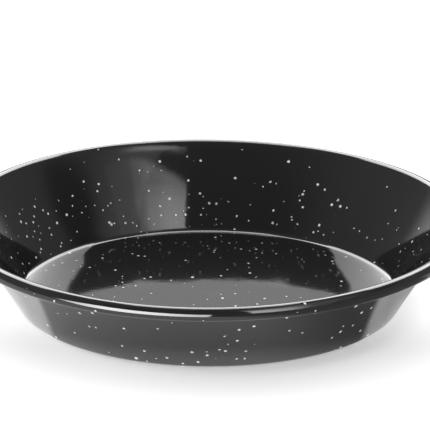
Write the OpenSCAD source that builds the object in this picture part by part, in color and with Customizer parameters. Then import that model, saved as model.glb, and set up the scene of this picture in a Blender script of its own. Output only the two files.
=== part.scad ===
// Round enamelled pan, pressed from one sheet, with a flared wall and a rolled rim.
// The frame has +Z up, and its origin is at the middle of the base, on the table.

/* [Pan] */
// Outer diameter over the rolled rim
rim_d = 260; // [225:1:300]
// Height from the table to the top of the rim
pan_h = 43.4; // [34:0.1:60]
// Diameter of the flat part of the base
base_d = 187.6; // [150:0.2:200]

/* [Sheet] */
// Thickness of the steel sheet with its enamel
sheet_t = 1; // [0.7:0.05:1.3]
// Outer radius of the bend between the base and the wall
bend_r = 4; // [2.5:0.1:10]
// Radius of the wall in section, which bulges slightly into the bowl
wall_r = 250; // [120:5:600]

/* [Rim] */
// Radius over which the inner face of the wall flares out below the rim
flare_r = 3.5; // [3:0.1:10]
// Slope of the sheet where the flare runs into the roll, in degrees from level
lip_slope = 8; // [2:1:16]
// Outer radius of the roll along its top
roll_r = 3.1; // [2.4:0.1:4]
// Outer radius of the flatter part of the roll that faces outwards
roll_face_r = 6.3; // [4.5:0.1:9]
// Outer radius of the roll along its underside
roll_low_r = 2.8; // [2.4:0.1:3.6]
// Turn of the roll from the end of the flare to the free edge of the sheet, in degrees
roll_turn = 275; // [200:5:300]

/* [Colour] */
// Colour of the black enamel
enamel = [0.1, 0.1, 0.11];

/* [Hidden] */
// Longest turn between two points of an arc of the section, in degrees
arc_step = 7.5;
turn_fn = 180;

// Directions in the section, in degrees from outwards, where the arcs of the roll start and end
lip_dir = 90 + lip_slope;
face_dir = 27;
low_dir = 10;
edge_dir = lip_dir - roll_turn;

// Centres of the three arcs of the roll, as radius and height
low_c_x = rim_d / 2 - roll_low_r;
face_c_x = low_c_x - (roll_face_r - roll_low_r) * cos(low_dir);
roll_c = [face_c_x + (roll_face_r - roll_r) * cos(face_dir), pan_h - roll_r];
face_c = roll_c - (roll_face_r - roll_r) * dir(face_dir);
low_c = face_c + (roll_face_r - roll_low_r) * dir(low_dir);

// Centres of the bend and the flare
bend_c = [base_d / 2, bend_r];
flare_c = roll_c - (flare_r - roll_r) * dir(lip_dir);

// The wall is an arc that touches the flare from outside it and the bend on the other face of the sheet
span = flare_c - bend_c;
to_flare = wall_r - flare_r;
to_bend = wall_r + bend_r - sheet_t;
wall_cos = (span * span + to_flare * to_flare - to_bend * to_bend) / (2 * to_flare * norm(span));
wall_top_dir = atan2(span.y, span.x) + acos(wall_cos);
wall_c = flare_c - to_flare * dir(wall_top_dir);
wall_low_dir = atan2(bend_c.y - wall_c.y, bend_c.x - wall_c.x);

// Step of length 1 in the direction a
function dir(a) = [cos(a), sin(a)];

// Points of an arc about the centre c, from direction a to direction b
function arc(c, r, a, b) =
    let (steps = ceil(abs(b - a) / arc_step))
    [for (i = [0 : 1 : steps]) c + r * dir(a + (b - a) * i / steps)];

// All points of a line but the first
function after_first(line) = [for (i = [1 : 1 : len(line) - 1]) line[i]];

function reversed(line) = [for (i = [1 : 1 : len(line)]) line[len(line) - i]];

// Line at the depth d below the upper face of the sheet, from the axis to the free edge of the roll
function sheet_line(d) = concat(
    [[0, sheet_t - d]],
    arc(bend_c, bend_r - sheet_t + d, -90, wall_low_dir - 180),
    after_first(arc(wall_c, wall_r - d, wall_low_dir, wall_top_dir)),
    after_first(arc(flare_c, flare_r - d, wall_top_dir, lip_dir)),
    after_first(arc(roll_c, roll_r - d, lip_dir, face_dir)),
    after_first(arc(face_c, roll_face_r - d, face_dir, low_dir)),
    after_first(arc(low_c, roll_low_r - d, low_dir, edge_dir))
);

// Section of the whole sheet, to the right of the axis
module pan_section() {
    polygon(concat(sheet_line(sheet_t), reversed(sheet_line(0))));
}

// The pan, its section turned about the axis
module pan() {
    color(enamel)
        rotate_extrude($fn = turn_fn)
            pan_section();
}

pan();
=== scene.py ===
import math

import bpy
from mathutils import Matrix, Vector, noise


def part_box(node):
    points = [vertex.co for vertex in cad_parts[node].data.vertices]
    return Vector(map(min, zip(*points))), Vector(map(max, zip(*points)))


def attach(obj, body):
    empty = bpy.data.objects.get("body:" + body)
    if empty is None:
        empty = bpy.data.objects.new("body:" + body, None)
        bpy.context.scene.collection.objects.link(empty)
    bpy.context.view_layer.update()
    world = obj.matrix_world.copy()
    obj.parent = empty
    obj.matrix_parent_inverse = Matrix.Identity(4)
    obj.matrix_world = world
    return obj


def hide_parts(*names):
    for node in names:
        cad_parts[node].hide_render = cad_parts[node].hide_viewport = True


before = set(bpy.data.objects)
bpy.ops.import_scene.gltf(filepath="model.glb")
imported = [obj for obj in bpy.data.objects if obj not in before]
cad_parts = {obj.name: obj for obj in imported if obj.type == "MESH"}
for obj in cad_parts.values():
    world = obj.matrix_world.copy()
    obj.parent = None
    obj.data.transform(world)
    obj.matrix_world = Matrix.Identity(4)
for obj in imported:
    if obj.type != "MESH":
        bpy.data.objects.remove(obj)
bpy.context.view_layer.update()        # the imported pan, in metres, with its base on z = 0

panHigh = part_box("pan")[1]    # the upper corner of its box
print("frame loaded:", sorted(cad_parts))


# The pan is one pressed sheet, with the section of the CAD solid in finer steps

panShape = {
    "rimRadius": panHigh.x,
    "height": panHigh.z,
    "baseRadius": 0.0938,
    "sheet": 0.001,
    "bendRadius": 0.004,
    "wallRadius": 0.25,          # the wall bulges slightly into the bowl
    "flareRadius": 0.0035,
    "lipSlope": math.radians(8),
    "rollRadius": 0.0031,        # the roll along its top, on its outer face and underneath
    "rollFaceRadius": 0.0063,
    "rollLowRadius": 0.0028,
    "rollFaceAngle": math.radians(27),
    "rollLowAngle": math.radians(10),
    "rollTurn": math.radians(275),
    "edgeStep": math.radians(45),  # for the rounding of the cut edge
    "around": 320,               # faces round the pan
    "arcStep": math.radians(6),
    "wallStep": math.radians(0.9),
    "floorRings": 30,
    "undersideRings": 10,
    "rimRise": 0.00085,          # the rim is not quite level: two sides stand higher
    "rimRiseTurn": 0.48,
    "floorLift": 0.0008,         # enamel pooled on the floor and in the bend
    "pooledBend": 0.0038,
    "floorLean": 0.006,          # the floor rises slightly to the back
    "waveDepth": 0.00009,        # slow waves left in the floor by firing
    "waveLength": 0.045,
    "waveSeed": 11.0,
    "waveReach": 0.97,           # share of the base over which waves and lean fade out, and how late they do
    "waveFade": 4,
}


def direction(angle):
    return Vector((math.cos(angle), math.sin(angle)))


def arc(centre, radius, start, end, stepAngle):
    count = max(2, math.ceil(abs(end - start) / stepAngle))
    return [centre + radius * direction(start + (end - start) * i / count) for i in range(count + 1)]


def straight(start, end, count):
    return [start.lerp(end, i / count) for i in range(1, count)]


def sheetLine(shape, depth, floorRings):
    # one face of the sheet, as radius and height, from the axis to the free edge of the roll
    top, face, low = shape["rollRadius"], shape["rollFaceRadius"], shape["rollLowRadius"]
    faceAngle, lowAngle = shape["rollFaceAngle"], shape["rollLowAngle"]
    lipAngle = math.pi / 2 + shape["lipSlope"]
    faceX = shape["rimRadius"] - low - (face - low) * math.cos(lowAngle)
    topCentre = Vector((faceX + (face - top) * math.cos(faceAngle), shape["height"] - top))
    faceCentre = topCentre - (face - top) * direction(faceAngle)
    lowCentre = faceCentre + (face - low) * direction(lowAngle)

    bendCentre = Vector((shape["baseRadius"], shape["bendRadius"]))
    flareCentre = topCentre - (shape["flareRadius"] - top) * direction(lipAngle)
    span = flareCentre - bendCentre
    toFlare = shape["wallRadius"] - shape["flareRadius"]
    toBend = shape["wallRadius"] + shape["bendRadius"] - shape["sheet"]
    corner = math.acos((span.length_squared + toFlare ** 2 - toBend ** 2) / (2 * toFlare * span.length))
    wallTop = math.atan2(span.y, span.x) + corner
    wallCentre = flareCentre - toFlare * direction(wallTop)
    wallLow = math.atan2(bendCentre.y - wallCentre.y, bendCentre.x - wallCentre.x)

    bendRadius = shape["bendRadius"] - shape["sheet"] + depth
    if depth == 0:
        # the upper face stands higher, with a wider bend that touches the floor and the wall
        bendRadius = shape["pooledBend"]
        height = shape["sheet"] + shape["floorLift"] + bendRadius
        reach = math.sqrt((shape["wallRadius"] + bendRadius) ** 2 - (height - wallCentre.y) ** 2)
        bendCentre = Vector((wallCentre.x - reach, height))
        wallLow = math.atan2(bendCentre.y - wallCentre.y, bendCentre.x - wallCentre.x)
    middle = Vector((0, bendCentre.y - bendRadius))
    step = shape["arcStep"]
    bend = arc(bendCentre, bendRadius, -math.pi / 2, wallLow - math.pi, step)
    line = [middle] + straight(middle, bend[0], floorRings) + bend
    line += arc(wallCentre, shape["wallRadius"] - depth, wallLow, wallTop, shape["wallStep"])[1:]
    line += arc(flareCentre, shape["flareRadius"] - depth, wallTop, lipAngle, step)[1:]
    line += arc(topCentre, top - depth, lipAngle, faceAngle, step)[1:]
    line += arc(faceCentre, face - depth, faceAngle, lowAngle, step)[1:]
    return line + arc(lowCentre, low - depth, lowAngle, lipAngle - shape["rollTurn"], step)[1:]


def freeEdge(upperEnd, lowerEnd, stepAngle):
    # the cut edge of the sheet, rounded by its enamel
    middle = (upperEnd + lowerEnd) / 2
    across = upperEnd - middle
    start = math.atan2(across.y, across.x)
    return arc(middle, across.length, start, start + math.pi, stepAngle)[1:-1]


def floorWave(shape, x, y):
    # slow dips and rises of the floor, which fade out before the bend
    radius = math.hypot(x, y)
    fade = max(0.0, 1 - (radius / (shape["baseRadius"] * shape["waveReach"])) ** shape["waveFade"])
    place = Vector((x / shape["waveLength"], y / shape["waveLength"], shape["waveSeed"]))
    return fade * (shape["waveDepth"] * noise.noise(place) + shape["floorLean"] * y)


def turnedMesh(name, shape):
    upper = sheetLine(shape, 0, shape["floorRings"])
    lower = sheetLine(shape, shape["sheet"], shape["undersideRings"])
    section = upper + freeEdge(upper[-1], lower[-1], shape["edgeStep"]) + lower[::-1]
    around = shape["around"]
    rings = section[1:-1]
    verts = [(0, 0, section[0].y + floorWave(shape, 0, 0))]
    for place, ring in enumerate(rings):
        for i in range(around):
            turn = 2 * math.pi * i / around
            x = ring.x * math.cos(turn)
            y = ring.x * math.sin(turn)
            wave = floorWave(shape, x, y) if place < shape["floorRings"] else 0
            rise = shape["rimRise"] * math.cos(2 * turn + shape["rimRiseTurn"]) * ring.y / shape["height"]
            verts.append((x, y, ring.y + wave + rise))
    verts.append((0, 0, section[-1].y))

    last = len(verts) - 1
    faces = []
    for i in range(around):
        after = (i + 1) % around
        faces.append((0, 1 + i, 1 + after))
        for place in range(len(rings) - 1):
            low = 1 + place * around
            high = low + around
            faces.append((low + i, high + i, high + after, low + after))
        end = 1 + (len(rings) - 1) * around
        faces.append((last, end + after, end + i))
    mesh = bpy.data.meshes.new(name)
    mesh.from_pydata(verts, [], faces)
    mesh.validate()
    mesh.shade_smooth()
    return mesh


def buildPan(shape):
    pan = bpy.data.objects.new("enamelPan", turnedMesh("enamelPan", shape))
    bpy.context.scene.collection.objects.link(pan)
    return pan


# The enamel is black glass with small white specks, more of them low down inside

enamelLook = {
    "black": (0.016, 0.016, 0.017, 1),
    "white": (0.80, 0.80, 0.78, 1),
    "roughness": (0.045, 0.08),  # of the glass, where it is clean and where it is smeared
    "smearsPerMetre": 60.0,
    "smearDetail": 3.0,
    "speckRoughness": 0.16,
    "ior": 1.58,

    "insideSpecks": {"cell": 0.0036, "radius": 0.00075, "share": 0.9, "seed": 3.0},
    "outsideSpecks": {"cell": 0.0048, "radius": 0.0009, "share": 0.82, "seed": 8.0},
    "facingUp": (-0.1, 0.1),     # slopes of the surface between the outside specks and the inside ones
    "speckSizes": (0.45, 1.15),  # smallest and largest, as shares of the radius above
    "speckTones": (0.65, 1.25),  # greyest and whitest, where 1 and more is full white
    "speckEdge": (0.72, 1.05),   # shares of its size over which a speck fades into the black
    "speckDome": 1.3,            # share of its size over which it stands up, and by how much
    "speckDepth": 0.00004,
    "raggedPerMetre": 1400.0,    # bumps along the edge of a speck, and how far they reach
    "raggedDepth": 0.0007,

    "clusterSize": 0.028,        # width of the thicker and thinner patches of specks
    "clusterFade": (0.3, 0.62),  # noise levels between thin and thick
    "thinShare": 0.4,            # share of the inside specks that the thin patches keep
    "floorShare": 0.36,          # share that the floor of the pan gets, and the high part of the wall
    "highShare": 0.24,
    "sideMore": 3.2,             # more specks on the left of the wall and fewer on the right, per metre
    "rimThin": 0.7,              # share that the rim loses
    "footFade": (1.5, 6),        # heights where the floor turns into the wall, in sheets
    "highFade": (0.3, 0.8),      # and the low part of the wall into the high one, in heights of the pan
    "rimFade": (0.89, 0.93),     # and the wall into the rim

    "peelSize": 0.0035,          # soft ripple of the glass, and a longer one
    "peelDepth": 0.000012,
    "rippleSize": 0.014,
    "rippleDepth": 0.00003,
}


class Nodes:
    # short way to add nodes and join them
    def __init__(self, tree):
        self.tree = tree

    def add(self, kind, settings=None, inputs=None):
        node = self.tree.nodes.new(kind)
        for key, value in (settings or {}).items():
            setattr(node, key, value)
        for key, value in (inputs or {}).items():
            if isinstance(value, bpy.types.NodeSocket):
                self.tree.links.new(value, node.inputs[key])
            else:
                node.inputs[key].default_value = value
        return node

    def math(self, operation, first, second=0.0, clamp=False):
        node = self.add("ShaderNodeMath", {"operation": operation, "use_clamp": clamp}, {0: first, 1: second})
        return node.outputs[0]

    def times(self, value, *others):
        for other in others:
            value = self.math("MULTIPLY", value, other)
        return value

    def plus(self, value, *others):
        for other in others:
            value = self.math("ADD", value, other)
        return value

    def opposite(self, value):
        return self.math("SUBTRACT", 1.0, value)

    def spread(self, value, start, end, clamp=False):
        # start where the value is 0, and end where it is 1
        return self.math("ADD", start, self.math("MULTIPLY", value, end - start), clamp)

    def vector(self, operation, first, second):
        node = self.add("ShaderNodeVectorMath", {"operation": operation}, {0: first, 1: second})
        return node.outputs["Value" if operation in ("DISTANCE", "DOT_PRODUCT") else "Vector"]

    def parts(self, vector):
        return self.add("ShaderNodeSeparateXYZ", inputs={0: vector}).outputs

    def scaled(self, vector, factor):
        node = self.add("ShaderNodeVectorMath", {"operation": "SCALE"}, {0: vector, "Scale": factor})
        return node.outputs[0]

    def smooth(self, value, start, end):
        node = self.add("ShaderNodeMapRange", {"interpolation_type": "SMOOTHSTEP"},
                        {"Value": value, "From Min": start, "From Max": end})
        return node.outputs["Result"]

    def noise(self, place, perMetre, detail=1.0):
        return self.add("ShaderNodeTexNoise", inputs={
            "Vector": self.scaled(place, perMetre), "Scale": 1.0, "Detail": detail}).outputs

    def ramp(self, value, points):
        # level between the points, each a place and a level from 0 to 1
        start, end = points[0][0], points[-1][0]
        along = self.add("ShaderNodeMapRange", inputs={"Value": value, "From Min": start, "From Max": end})
        node = self.add("ShaderNodeValToRGB", inputs={"Fac": along.outputs["Result"]})
        elements = node.color_ramp.elements
        node.color_ramp.interpolation = "EASE"
        for i, (place, level) in enumerate(points):
            share = (place - start) / (end - start)
            element = elements[i] if i < 2 else elements.new(share)
            element.position = share
            element.color = (level, level, level, 1)
        return node.outputs["Color"]

    def mix(self, factor, first, second):
        node = self.add("ShaderNodeMix", {"data_type": "FLOAT"}, {"Factor": factor, "A": first, "B": second})
        return node.outputs["Result"]

    def mixColour(self, factor, first, second):
        node = self.add("ShaderNodeMix", {"data_type": "RGBA"}, {"Factor": factor, "A": first, "B": second})
        return node.outputs["Result"]


def newMaterial(name):
    material = bpy.data.materials.new(name)
    material.use_nodes = True
    material.node_tree.nodes.clear()
    return material, Nodes(material.node_tree)


def newGroup(name, inputs, outputs):
    group = bpy.data.node_groups.new(name, "ShaderNodeTree")
    for label, kind in inputs:
        group.interface.new_socket(label, in_out="INPUT", socket_type=kind)
    for label, kind in outputs:
        group.interface.new_socket(label, in_out="OUTPUT", socket_type=kind)
    return group, Nodes(group)


def speckGroup(look):
    # white specks: one ball of enamel in some cells of space, cut by the surface
    group, nodes = newGroup(
        "enamelSpecks",
        [("Position", "NodeSocketVector"), ("Cell", "NodeSocketFloat"), ("Radius", "NodeSocketFloat"),
         ("Share", "NodeSocketFloat")],
        [("Speck", "NodeSocketFloat"), ("Height", "NodeSocketFloat")])
    given = nodes.add("NodeGroupInput").outputs
    ragged = nodes.noise(given["Position"], look["raggedPerMetre"])["Color"]
    shift = nodes.vector("SUBTRACT", ragged, (0.5, 0.5, 0.5))
    place = nodes.vector("ADD", given["Position"], nodes.scaled(shift, look["raggedDepth"]))
    cells = nodes.add("ShaderNodeTexVoronoi", {"voronoi_dimensions": "3D", "feature": "F1"},
                      {"Vector": place, "Scale": nodes.math("DIVIDE", 1.0, given["Cell"]), "Randomness": 1.0})
    random = nodes.add("ShaderNodeSeparateColor", inputs={"Color": cells.outputs["Color"]}).outputs

    away = nodes.times(cells.outputs["Distance"], given["Cell"])
    size = nodes.times(given["Radius"], nodes.spread(random["Green"], *look["speckSizes"]))
    inside = nodes.math("DIVIDE", away, size)
    shown = nodes.math("LESS_THAN", random["Red"], given["Share"])
    tone = nodes.spread(random["Blue"], *look["speckTones"], clamp=True)
    speck = nodes.times(nodes.opposite(nodes.smooth(inside, *look["speckEdge"])), shown, tone)
    dome = nodes.times(nodes.opposite(nodes.smooth(inside, 0.0, look["speckDome"])), shown)
    nodes.add("NodeGroupOutput", inputs={"Speck": speck, "Height": dome})
    return group


def speckShares(nodes, place, look, shape):
    # how many cells hold a speck, inside and outside: more in patches, low on the wall and to the left
    along = nodes.parts(place)

    def risen(name, unit):
        return nodes.smooth(along["Z"], *[unit * share for share in look[name]])

    patchy = nodes.smooth(nodes.noise(place, 1 / look["clusterSize"])["Fac"], *look["clusterFade"])
    lowDown = nodes.opposite(risen("highFade", shape["height"]))
    leftMore = nodes.opposite(nodes.times(along["X"], look["sideMore"]))
    wall = nodes.times(nodes.spread(lowDown, look["highShare"], 1), leftMore)
    zone = nodes.mix(risen("footFade", shape["sheet"]), look["floorShare"], wall)
    thick = nodes.times(nodes.spread(patchy, look["thinShare"], 1), zone)
    belowRim = nodes.opposite(nodes.times(risen("rimFade", shape["height"]), look["rimThin"]))
    return [nodes.times(share, look[side]["share"], belowRim)
            for share, side in ((thick, "insideSpecks"), (patchy, "outsideSpecks"))]


def enamelMaterial(look, shape):
    material, nodes = newMaterial("enamel")
    where = nodes.add("ShaderNodeTexCoord").outputs
    place = where["Object"]
    specks = speckGroup(look)

    def placeSpecks(values, share):
        moved = nodes.vector("ADD", place, (values["seed"], 0, 0))
        return nodes.add("ShaderNodeGroup", {"node_tree": specks}, {
            "Position": moved, "Cell": values["cell"], "Radius": values["radius"], "Share": share}).outputs

    insideShare, outsideShare = speckShares(nodes, place, look, shape)
    inside = placeSpecks(look["insideSpecks"], insideShare)
    outside = placeSpecks(look["outsideSpecks"], outsideShare)
    upwards = nodes.smooth(nodes.parts(where["Normal"])["Z"], *look["facingUp"])
    speck, dome = (nodes.mix(upwards, outside[label], inside[label]) for label in ("Speck", "Height"))

    low, high = look["roughness"]
    smear = nodes.noise(place, look["smearsPerMetre"], detail=look["smearDetail"])["Fac"]
    glass = nodes.add("ShaderNodeMapRange", inputs={"Value": smear, "To Min": low, "To Max": high}).outputs["Result"]

    peel = nodes.times(nodes.noise(place, 1 / look["peelSize"])["Fac"], look["peelDepth"])
    ripple = nodes.times(nodes.noise(place, 1 / look["rippleSize"], detail=0.0)["Fac"], look["rippleDepth"])
    relief = nodes.plus(peel, ripple, nodes.times(dome, look["speckDepth"]))
    bump = nodes.add("ShaderNodeBump", inputs={"Height": relief, "Distance": 1.0, "Strength": 1.0})

    paint = nodes.add("ShaderNodeBsdfPrincipled", inputs={
        "Base Color": nodes.mixColour(speck, look["black"], look["white"]),
        "Roughness": nodes.mix(speck, glass, look["speckRoughness"]),
        "IOR": look["ior"], "Normal": bump.outputs["Normal"]})
    nodes.add("ShaderNodeOutputMaterial", inputs={"Surface": paint.outputs[0]})
    return material


pan = buildPan(panShape)
pan.data.materials.append(enamelMaterial(enamelLook, panShape))
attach(pan, "root")
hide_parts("pan")
print("pan:", len(pan.data.vertices), "vertices")


# The floor is a white sheet, which shows as white and keeps the pan's shadow; its glow also holds a painted shadow
# by the foot, painted light beside and behind the pan, and painted light and shade that only the pan's reflections
# see

floorLook = {
    "halfWidth": 4.0,
    "colour": 0.88,
    "seenGlow": 0.42,            # its own light as the camera sees it, which keeps the shadow soft
    "contactDim": 0.12,          # painted shadow: the floor's glow is less close to the foot
    "contactPlace": (0.009, -0.009, 0),
    "contactReach": (0.087, 0.102),
    "besideGlow": 0.32,          # painted light: the floor glows more beside and behind the pan
    "besideReach": (-0.075, -0.01),
    "footGlow": 0.85,            # painted light, as the pan mirrors it: by the foot, under the rim and beside the pan
    "underGlow": 0.3,
    "footPlace": (0, -0.012, 0),
    "footReach": (0.0865, 0.0945),
    "sideGlow": [(-0.077, 0), (-0.071, 0.88), (-0.055, 0.6), (-0.01, 0.27)],
    "sideSlant": 0.2,            # the painted glow beside the pan starts further back, away from the middle
    "dimReach": (0.02, 0.085),   # painted shade: the mirrored floor gets darker to the right
    "dimDepth": 0.74,
}


def whiteFloor(look):
    half = look["halfWidth"]
    mesh = bpy.data.meshes.new("floor")
    mesh.from_pydata([(-half, -half, 0), (half, -half, 0), (half, half, 0), (-half, half, 0)], [], [(0, 1, 2, 3)])
    floor = bpy.data.objects.new("floor", mesh)
    bpy.context.scene.collection.objects.link(floor)
    material, nodes = newMaterial("whiteFloor")
    level = look["colour"]
    rays = nodes.add("ShaderNodeLightPath").outputs
    place = nodes.add("ShaderNodeTexCoord").outputs["Object"]
    along = nodes.parts(place)

    # painted shade: for the pan's reflections the floor's colour darkens to the right
    dim = nodes.times(nodes.smooth(along["X"], *look["dimReach"]), look["dimDepth"])
    bright = nodes.opposite(nodes.times(dim, rays["Is Glossy Ray"]))
    matt = nodes.add("ShaderNodeBsdfDiffuse", inputs={
        "Color": nodes.mixColour(bright, (0, 0, 0, 1), (level, level, level, 1))})

    # painted light that only the pan's reflections see: by the foot, under the rim and beside the pan
    fromFoot = nodes.vector("DISTANCE", place, look["footPlace"])
    under = nodes.mix(nodes.smooth(fromFoot, *look["footReach"]), look["footGlow"], look["underGlow"])
    out = nodes.math("ABSOLUTE", along["X"])
    slant = nodes.math("SUBTRACT", along["Y"], nodes.times(out, look["sideSlant"]))
    mirrored = nodes.plus(nodes.times(under, bright), nodes.ramp(slant, look["sideGlow"]))

    # painted shadow close to the foot, as the camera sees the floor
    fromShade = nodes.vector("DISTANCE", place, look["contactPlace"])
    contact = nodes.times(nodes.smooth(fromShade, *look["contactReach"]), look["contactDim"])
    # painted light beside and behind the pan, as the camera sees the floor
    beside = nodes.times(nodes.smooth(along["Y"], *look["besideReach"]), look["besideGlow"])
    seen = nodes.plus(look["seenGlow"] - look["contactDim"], contact, beside)

    glow = nodes.mix(rays["Is Camera Ray"], mirrored, seen)
    shine = nodes.add("ShaderNodeEmission", inputs={"Strength": glow})
    both = nodes.add("ShaderNodeAddShader", inputs={0: matt.outputs[0], 1: shine.outputs[0]})
    nodes.add("ShaderNodeOutputMaterial", inputs={"Surface": both.outputs[0]})
    mesh.materials.append(material)


whiteFloor(floorLook)
print("floor ready")


# The studio is dark above, with a white backdrop low behind and soft boxes round the pan

studioLook = {
    "ambient": 1.2,                  # even light from all sides, on matt surfaces only
    "room": 0.3,                     # the rest of the room
    "backdrop": 1.25,                # as the pan mirrors it
    "seenBackdrop": 1.0,             # as the camera sees it
    "backdropTop": (23.6, 24.6),     # degrees above the floor where the backdrop ends
    "backdropSide": (36.0, 50.0),    # degrees from straight behind where it fades
    "darkParts": [
        # the unlit parts of the room: direction, and degrees from it where they are darkest and where they end
        {"azimuth": -166, "elevation": 38, "reach": (20, 62), "depth": 0.72},
        {"azimuth": 92, "elevation": 34, "reach": (6, 16), "depth": 0.85},
    ],
}

lamps = {
    # azimuth from straight behind, clockwise, and elevation, both in degrees; lean turns a box in its own plane
    # across and upwards give its brightness from side to side, and topEdge, corner and taper cut its face
    "backBox": {"azimuth": 0, "elevation": 45.1, "away": 3.0, "width": 3.8, "height": 2.22, "lean": -1,
                "radiance": 7.0, "topEdge": [(0, 0.76), (0.24, 0.775), (0.465, 1.03)], "softness": 0.02},
    "topBox": {"azimuth": 0, "elevation": 66.5, "away": 3.0, "width": 1.2, "height": 0.66, "radiance": 7.0},
    "frontRightBox": {"azimuth": 140.9, "elevation": 37.5, "away": 2.0, "width": 1.24, "height": 1.6, "lean": -12,
                      "radiance": 6.2,
                      "across": [(0, 0.05), (0.14, 0.05), (0.28, 0.1), (0.37, 0.34), (0.54, 0.74), (0.8, 1), (1, 1)],
                      "upwards": [(0, 0.9), (0.32, 1), (0.6, 0.57), (0.71, 0.51), (0.77, 0.4), (0.84, 0.3),
                                  (0.95, 0.32), (1, 0.3)],
                      "corner": (4.24, 4.56), "cornerSlope": 4.0},
    "upperRightBox": {"azimuth": 133.6, "elevation": 62.4, "away": 1.98, "width": 0.86, "height": 0.14, "lean": -21,
                      "radiance": 2.1, "across": [(0, 0), (0.5, 1), (0.75, 1), (1, 0.3)],
                      "upwards": [(0, 0), (0.6, 1), (1, 1)]},
    "sideRightGlow": {"azimuth": 112, "elevation": 48, "away": 1.1, "width": 0.5, "height": 0.8,
                      "radiance": 0.36, "across": [(0, 0), (0.7, 1), (1, 1)]},
    "frontLeftStrip": {"azimuth": -148.5, "elevation": 9, "away": 0.8, "width": 0.98, "height": 0.32,
                       "radiance": 16.0, "across": [(0, 0.6), (0.45, 1), (0.55, 1), (1, 0.6)],
                       "taper": 0.3, "softness": 0.05},
    "leftFill": {"azimuth": -62, "elevation": 14, "away": 1.6, "width": 0.9, "height": 0.5,
                 "radiance": 5.0, "mattOnly": True},
}


def pointAround(azimuth, elevation, away):
    level = math.cos(math.radians(elevation)) * away
    return Vector((math.sin(math.radians(azimuth)) * level, math.cos(math.radians(azimuth)) * level,
                   math.sin(math.radians(elevation)) * away))


def softBox(name, values):
    data = bpy.data.lights.new(name, "AREA")
    data.shape = "RECTANGLE"
    data.size = values["width"]
    data.size_y = values["height"]
    data.energy = values["radiance"] * math.pi * values["width"] * values["height"]    # in watts
    lamp = bpy.data.objects.new(name, data)
    bpy.context.scene.collection.objects.link(lamp)
    place = pointAround(values["azimuth"], values["elevation"], values["away"])
    facing = (Vector((0, 0, panHigh.z / 2)) - place).to_track_quat("-Z", "Y").to_matrix().to_4x4()
    lean = Matrix.Rotation(math.radians(values.get("lean", 0)), 4, "Z")
    lamp.matrix_world = Matrix.Translation(place) @ facing @ lean
    lamp.visible_camera = False
    lamp.visible_diffuse = values.get("mattOnly", False)
    lamp.visible_glossy = not lamp.visible_diffuse

    data.use_nodes = True
    nodes = Nodes(data.node_tree)
    onBox = nodes.parts(nodes.add("ShaderNodeNewGeometry").outputs["Parametric"])
    across, upwards = nodes.opposite(onBox["X"]), onBox["Y"]
    even = [(0, 1), (1, 1)]
    strength = nodes.times(nodes.ramp(across, values.get("across", even)),
                           nodes.ramp(upwards, values.get("upwards", even)))
    if "topEdge" in values:
        side = nodes.math("ABSOLUTE", nodes.math("SUBTRACT", across, 0.5))
        over = nodes.math("SUBTRACT", upwards, nodes.ramp(side, values["topEdge"]))
        strength = nodes.times(strength, nodes.opposite(
            nodes.smooth(over, -values["softness"], values["softness"])))
    if "corner" in values:
        diagonal = nodes.plus(across, nodes.times(upwards, values["cornerSlope"]))
        strength = nodes.times(strength, nodes.opposite(nodes.smooth(diagonal, *values["corner"])))
    if "taper" in values:
        half = nodes.times(onBox["X"], 0.5 / values["taper"])
        off = nodes.math("ABSOLUTE", nodes.math("SUBTRACT", upwards, 0.5))
        strength = nodes.times(strength, nodes.smooth(
            nodes.math("SUBTRACT", half, off), -values["softness"], values["softness"]))
    data.node_tree.links.new(strength, data.node_tree.nodes["Emission"].inputs["Strength"])


def buildWorld(look):
    world = bpy.data.worlds.new("studio")
    bpy.context.scene.world = world
    world.use_nodes = True
    world.node_tree.nodes.clear()
    nodes = Nodes(world.node_tree)

    def fade(angle, degrees):
        return nodes.smooth(angle, *[math.radians(limit) for limit in degrees])

    coordinates = nodes.add("ShaderNodeTexCoord").outputs["Generated"]
    way = nodes.parts(coordinates)
    rise = nodes.math("ARCSINE", way["Z"])
    turn = nodes.math("ABSOLUTE", nodes.math("ARCTAN2", way["X"], way["Y"]))
    behind = nodes.times(nodes.opposite(fade(rise, look["backdropTop"])),
                         nodes.opposite(fade(turn, look["backdropSide"])))
    room = look["room"]
    for part in look["darkParts"]:
        towards = pointAround(part["azimuth"], part["elevation"], 1)
        off = nodes.math("ARCCOSINE", nodes.vector("DOT_PRODUCT", coordinates, towards))
        room = nodes.times(room, nodes.spread(fade(off, part["reach"]), 1 - part["depth"], 1))
    rays = nodes.add("ShaderNodeLightPath").outputs
    mirrored = nodes.mix(behind, room, look["backdrop"])
    lit = nodes.mix(rays["Is Diffuse Ray"], mirrored, look["ambient"])
    strength = nodes.mix(rays["Is Camera Ray"], lit, look["seenBackdrop"])
    sky = nodes.add("ShaderNodeBackground", inputs={"Strength": strength})
    nodes.add("ShaderNodeOutputWorld", inputs={"Surface": sky.outputs[0]})


buildWorld(studioLook)
for name, values in lamps.items():
    softBox(name, values)
print("lamps:", len(lamps))


# The camera stands in front, about 20 degrees above the pan, a long way off

cameraPlace = {
    "place": (0, -1.8949, 0.7111),
    "pitch": 0.33823,            # radians below level
    "yaw": 0.0016,
    "roll": 0.0054,
    "lens": 334.9,               # lens and sensor in millimetres
    "sensor": 36,
    "farEnd": 50,
}


def buildCamera(values):
    data = bpy.data.cameras.new("camera")
    data.lens = values["lens"]
    data.sensor_width = values["sensor"]
    data.clip_end = values["farEnd"]
    camera = bpy.data.objects.new("camera", data)
    bpy.context.scene.collection.objects.link(camera)
    turned = (Matrix.Rotation(-values["yaw"], 4, "Z") @ Matrix.Rotation(math.pi / 2 - values["pitch"], 4, "X")
              @ Matrix.Rotation(values["roll"], 4, "Z"))
    camera.matrix_world = Matrix.Translation(values["place"]) @ turned
    bpy.context.scene.camera = camera


buildCamera(cameraPlace)
bpy.context.scene.view_settings.view_transform = "Standard"
print("camera ready")
